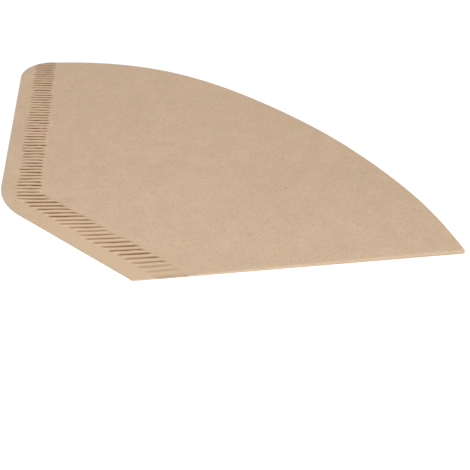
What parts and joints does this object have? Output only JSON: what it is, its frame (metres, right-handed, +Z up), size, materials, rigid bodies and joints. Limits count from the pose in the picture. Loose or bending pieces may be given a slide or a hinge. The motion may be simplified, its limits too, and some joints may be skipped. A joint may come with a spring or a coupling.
{
  "type": "paper coffee filter",
  "caption": "Flat-folded kraft paper cone filter with a curved open mouth, a folded edge, and crimped seams along one side and the bottom.",
  "frame": {"origin": "under the middle of the folded sheet's outline, on the table that it lies on", "axes": "+Z up, away from the table; +X from the crimped side seam towards the folded edge, along the sheet's longest side; +Y from the crimped bottom towards the open mouth"},
  "size_m": [0.165, 0.096, 0.0031],
  "materials": {
    "kraft_filter_paper": "matt unbleached filter paper with a fine fibre grain, crimped seams a little darker in the valleys"
  },
  "bodies": {
    "root": {"filter_sheet": "kraft_filter_paper"}
  },
  "joints": []
}
